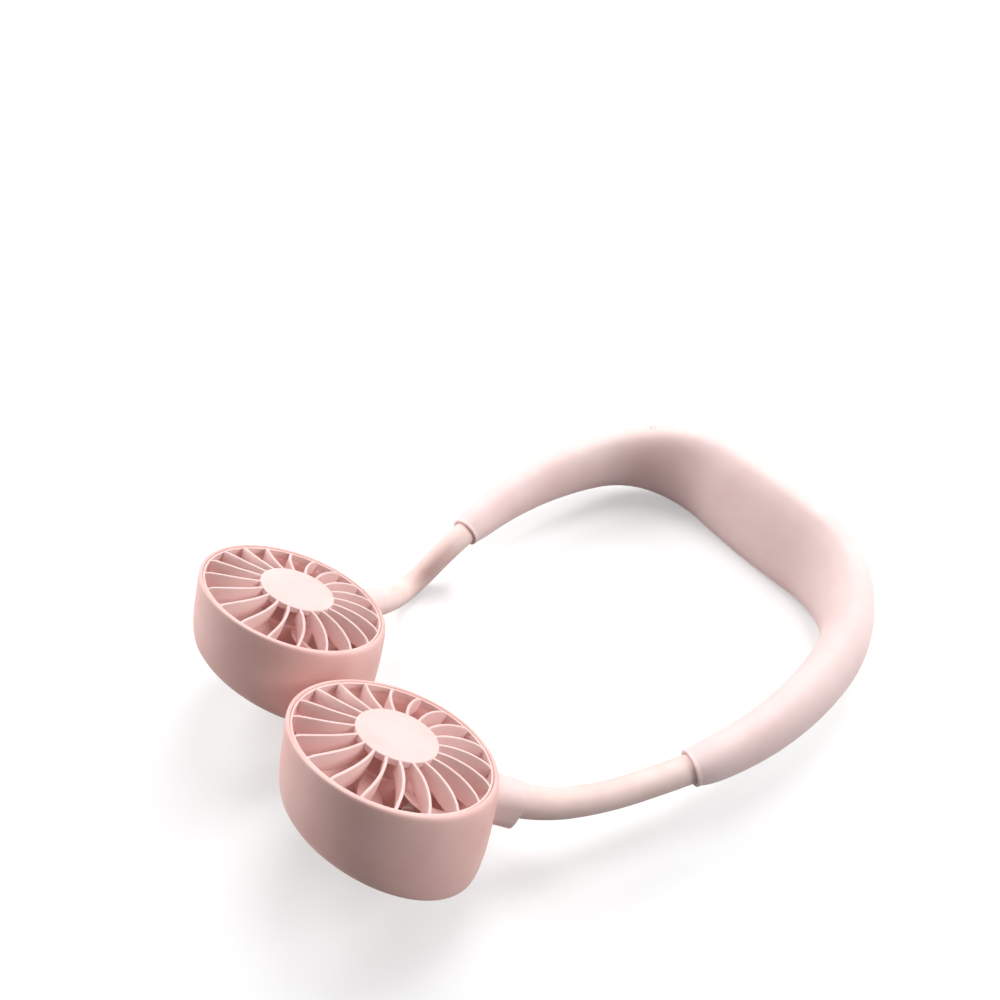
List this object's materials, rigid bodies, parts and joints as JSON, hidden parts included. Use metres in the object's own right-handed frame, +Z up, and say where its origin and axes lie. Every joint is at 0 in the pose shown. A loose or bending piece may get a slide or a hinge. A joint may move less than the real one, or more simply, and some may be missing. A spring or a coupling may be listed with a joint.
{
  "type": "neck fan",
  "caption": "Wearable neck fan: a curved neckband with two bendable goosenecks, each carrying a ducted fan head with a curved-vane grille",
  "frame": {"origin": "middle of the flat under the back of the band, in the plane the fan stands on", "axes": "+X to the wearer's left, +Y to the wearer's back, -Y forwards towards the fans, +Z up"},
  "size_m": [0.1765, 0.2426, 0.0779],
  "materials": {
    "shell": "soft matt moulded plastic",
    "grille": "satin moulded plastic",
    "sleeve": "soft silicone sleeve",
    "blade": "satin moulded plastic",
    "battery_foil": "laminated foil pouch",
    "foam": "closed-cell foam",
    "board": "solder-masked laminate",
    "socket_steel": "tinned shell",
    "dark_plastic": "moulded",
    "button": "satin keycap",
    "light": "clear lens",
    "wire": "insulated wire",
    "core_metal": "soft bendable metal",
    "steel": "turned",
    "magnet": "sintered ring",
    "copper": "wound coils",
    "bronze": "sintered bush"
  },
  "bodies": {
    "neckband": {"main_shell": "shell", "bottom_cover": "shell", "battery": "battery_foil", "battery_pad": "foam", "circuit_board": "board", "usb_socket": "socket_steel", "tact_switch": "dark_plastic", "status_light": "light", "left_lead": "wire", "right_lead": "wire", "left_ferrule": "shell", "left_sleeve_base": "sleeve", "left_core_base": "core_metal", "right_ferrule": "shell", "right_sleeve_base": "sleeve", "right_core_base": "core_metal"},
    "power_button": {"power_button": "button"},
    "left_lower_arm": {"left_core_lower": "core_metal", "left_sleeve_middle": "sleeve"},
    "left_upper_arm": {"left_core_upper": "core_metal", "left_sleeve_tip": "sleeve"},
    "left_head": {"left_core_tip": "core_metal", "left_collar": "shell", "left_housing": "shell", "left_front_grille": "grille", "left_rear_grille": "grille", "left_stator": "copper", "left_bush": "bronze", "left_motor_board": "board", "left_motor_screws": "steel"},
    "left_rotor": {"left_impeller": "blade", "left_shaft": "steel", "left_magnet": "magnet"},
    "right_lower_arm": {"right_core_lower": "core_metal", "right_sleeve_middle": "sleeve"},
    "right_upper_arm": {"right_core_upper": "core_metal", "right_sleeve_tip": "sleeve"},
    "right_head": {"right_core_tip": "core_metal", "right_collar": "shell", "right_housing": "shell", "right_front_grille": "grille", "right_rear_grille": "grille", "right_stator": "copper", "right_bush": "bronze", "right_motor_board": "board", "right_motor_screws": "steel"},
    "right_rotor": {"right_impeller": "blade", "right_shaft": "steel", "right_magnet": "magnet"}
  },
  "joints": [
    {"name": "left_arm_lift", "type": "hinge", "parent": "neckband", "child": "left_lower_arm", "pos_m": [0.06809, -0.11501, 0.02081], "axis": [-0.965, 0.2622, 0], "range_deg": [-30, 60], "deforming": ["left_sleeve_base"]},
    {"name": "left_arm_swing", "type": "hinge", "parent": "left_lower_arm", "child": "left_upper_arm", "pos_m": [0.06206, -0.13496, 0.02226], "axis": [0.0398, 0.1128, 0.9928], "range_deg": [0, 50], "deforming": ["left_sleeve_middle"]},
    {"name": "left_head_nod", "type": "hinge", "parent": "left_upper_arm", "child": "left_head", "pos_m": [0.05378, -0.15364, 0.02632], "axis": [-0.8428, 0.3475, -0.411], "range_deg": [-40, 45], "deforming": ["left_sleeve_tip"]},
    {"name": "left_fan_spin", "type": "hinge", "parent": "left_head", "child": "left_rotor", "pos_m": [0.02183, -0.19172, 0.05174], "axis": [-0.1325, 0.5887, 0.7974], "continuous": true},
    {"name": "right_arm_lift", "type": "hinge", "parent": "neckband", "child": "right_lower_arm", "pos_m": [-0.06963, -0.11487, 0.01816], "axis": [-0.965, -0.2622, 0], "range_deg": [-30, 60], "deforming": ["right_sleeve_base"]},
    {"name": "right_arm_swing", "type": "hinge", "parent": "right_lower_arm", "child": "right_upper_arm", "pos_m": [-0.07259, -0.13087, 0.00593], "axis": [-0.0259, 0.1993, -0.9796], "range_deg": [0, 50], "deforming": ["right_sleeve_middle"]},
    {"name": "right_head_nod", "type": "hinge", "parent": "right_upper_arm", "child": "right_head", "pos_m": [-0.06502, -0.14784, 0.01355], "axis": [-0.9453, -0.293, 0.1436], "range_deg": [-40, 45], "deforming": ["right_sleeve_tip"]},
    {"name": "right_fan_spin", "type": "hinge", "parent": "right_head", "child": "right_rotor", "pos_m": [-0.05572, -0.18987, 0.04919], "axis": [-0.061, 0.5955, 0.801], "continuous": true},
    {"name": "power_press", "type": "slide", "parent": "neckband", "child": "power_button", "axis": [0, -0.9724, 0.2334], "range_m": [0, 0.0005], "stiffness_N_per_m": 600}
  ]
}
